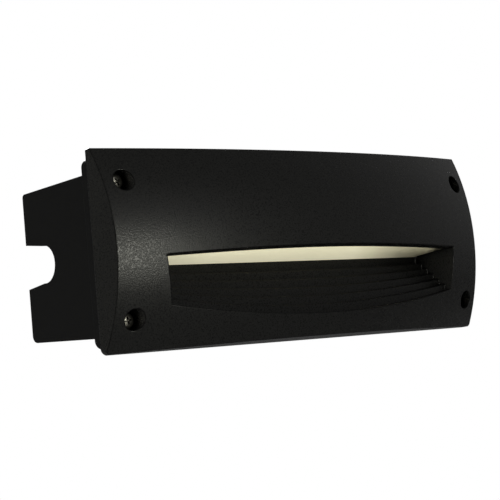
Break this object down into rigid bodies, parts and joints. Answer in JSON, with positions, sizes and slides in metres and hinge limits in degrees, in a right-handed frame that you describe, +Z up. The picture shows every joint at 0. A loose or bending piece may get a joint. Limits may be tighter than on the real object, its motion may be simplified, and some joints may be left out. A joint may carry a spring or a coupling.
{
  "type": "recessed step light",
  "caption": "Brick-format recessed step light: bowed black bezel with a terraced downward slot, a sealed LED module behind it and an open-backed wall box with conduit notches.",
  "frame": {"origin": "centre of the wall opening, in the plane of the wall face, which is the flange's rear face", "axes": "+X along the light to the right as seen from the front, +Y into the wall, +Z up"},
  "size_m": [0.268, 0.1071, 0.1037],
  "materials": {
    "black_powder_coat": "fine textured black powder coat on die-cast aluminium",
    "black_moulding": "fine grained black moulding",
    "housing_plastic": "satin black glass-filled nylon",
    "stainless": "stainless steel, machine finish",
    "zinc_steel": "bright zinc plated",
    "tinned_copper": "tinned",
    "green_screw": "green passivated",
    "brass": "as turned",
    "opal_lens": "frosted cream diffusing polycarbonate",
    "rubber_black": "black EPDM",
    "rubber_white": "translucent white silicone",
    "reflector_white": "gloss white",
    "board_white": "white solder mask",
    "led_phosphor": "yellow phosphor in a clear package",
    "aluminium_sheet": "mill finish",
    "white_plastic": "light grey-white moulding",
    "lead_red": "red insulation",
    "lead_black": "black insulation",
    "lead_brown": "brown insulation",
    "lead_blue": "blue insulation",
    "lead_earth": "green and yellow insulation"
  },
  "bodies": {
    "wall_box": {"wall_box": "black_moulding", "threaded_inserts": "brass"},
    "light_unit": {"bezel": "black_powder_coat", "bezel_gasket": "rubber_black", "screw_seals": "rubber_black", "lens": "opal_lens", "lens_gasket": "rubber_white", "reflector": "reflector_white", "led_board": "board_white", "leds": "led_phosphor", "led_connector": "white_plastic", "board_screws": "zinc_steel", "led_tray": "aluminium_sheet", "tray_screws": "zinc_steel", "lamp_housing": "housing_plastic", "housing_gasket": "rubber_black", "housing_screws": "stainless", "driver": "white_plastic", "driver_screws": "zinc_steel", "terminal_block": "white_plastic", "terminal_barrels": "brass", "clamp_screws": "zinc_steel", "block_screws": "zinc_steel", "led_lead_red": "lead_red", "led_lead_black": "lead_black", "input_lead_brown": "lead_brown", "input_lead_blue": "lead_blue", "earth_lead": "lead_earth", "earth_tag": "tinned_copper", "earth_screw": "green_screw", "gland_body": "housing_plastic", "gland_washer": "rubber_black", "gland_locknut": "housing_plastic", "gland_seal": "rubber_black"},
    "gland_nut": {"gland_nut": "housing_plastic"},
    "bezel_screw_top_left": {"bezel_screw_top_left": "stainless"},
    "bezel_screw_top_right": {"bezel_screw_top_right": "stainless"},
    "bezel_screw_bottom_left": {"bezel_screw_bottom_left": "stainless"},
    "bezel_screw_bottom_right": {"bezel_screw_bottom_right": "stainless"}
  },
  "joints": [
    {"name": "light_unit_lift_off", "type": "slide", "parent": "wall_box", "child": "light_unit", "axis": [0, -1, 0], "range_m": [0, 0.07]},
    {"name": "gland_nut_turn", "type": "hinge", "parent": "light_unit", "child": "gland_nut", "pos_m": [0.084, 0.054, -0.01536], "axis": [0, 1, 0], "continuous": true},
    {"name": "bezel_screw_top_left_turn", "type": "hinge", "parent": "light_unit", "child": "bezel_screw_top_left", "pos_m": [-0.12125, -0.011, 0.03485], "axis": [0, 1, 0], "continuous": true},
    {"name": "bezel_screw_top_right_turn", "type": "hinge", "parent": "light_unit", "child": "bezel_screw_top_right", "pos_m": [0.12125, -0.011, 0.03485], "axis": [0, 1, 0], "continuous": true},
    {"name": "bezel_screw_bottom_left_turn", "type": "hinge", "parent": "light_unit", "child": "bezel_screw_bottom_left", "pos_m": [-0.12125, -0.011, -0.03485], "axis": [0, 1, 0], "continuous": true},
    {"name": "bezel_screw_bottom_right_turn", "type": "hinge", "parent": "light_unit", "child": "bezel_screw_bottom_right", "pos_m": [0.12125, -0.011, -0.03485], "axis": [0, 1, 0], "continuous": true}
  ]
}
